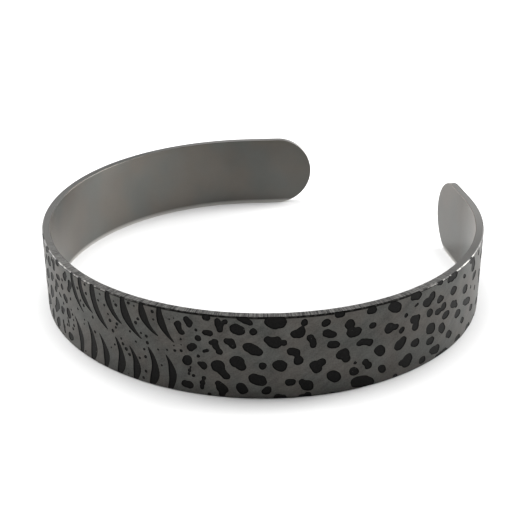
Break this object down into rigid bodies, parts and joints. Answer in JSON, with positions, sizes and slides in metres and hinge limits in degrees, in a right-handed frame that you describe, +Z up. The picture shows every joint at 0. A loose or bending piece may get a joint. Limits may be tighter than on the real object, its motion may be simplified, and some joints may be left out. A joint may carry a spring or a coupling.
{
  "type": "titanium cuff bracelet",
  "caption": "Open cuff bracelet: one flat satin band bent round the wrist, with round tips and a blackened animal-spot pattern outside.",
  "frame": {"origin": "midway between front and back and between the sides, on the surface that the lower rim rests on", "axes": "+Z up through the wrist opening, -Y to the middle of the band, +Y to the way in between the tips, +X to the side; the two halves mirror each other across X = 0"},
  "size_m": [0.066, 0.0648, 0.012],
  "materials": {
    "satin_titanium": "satin grey titanium, smooth inside and finely grained outside, with a matt black laser-marked spot pattern on the outer face"
  },
  "bodies": {
    "root": {"cuff_band": "satin_titanium"}
  },
  "joints": []
}
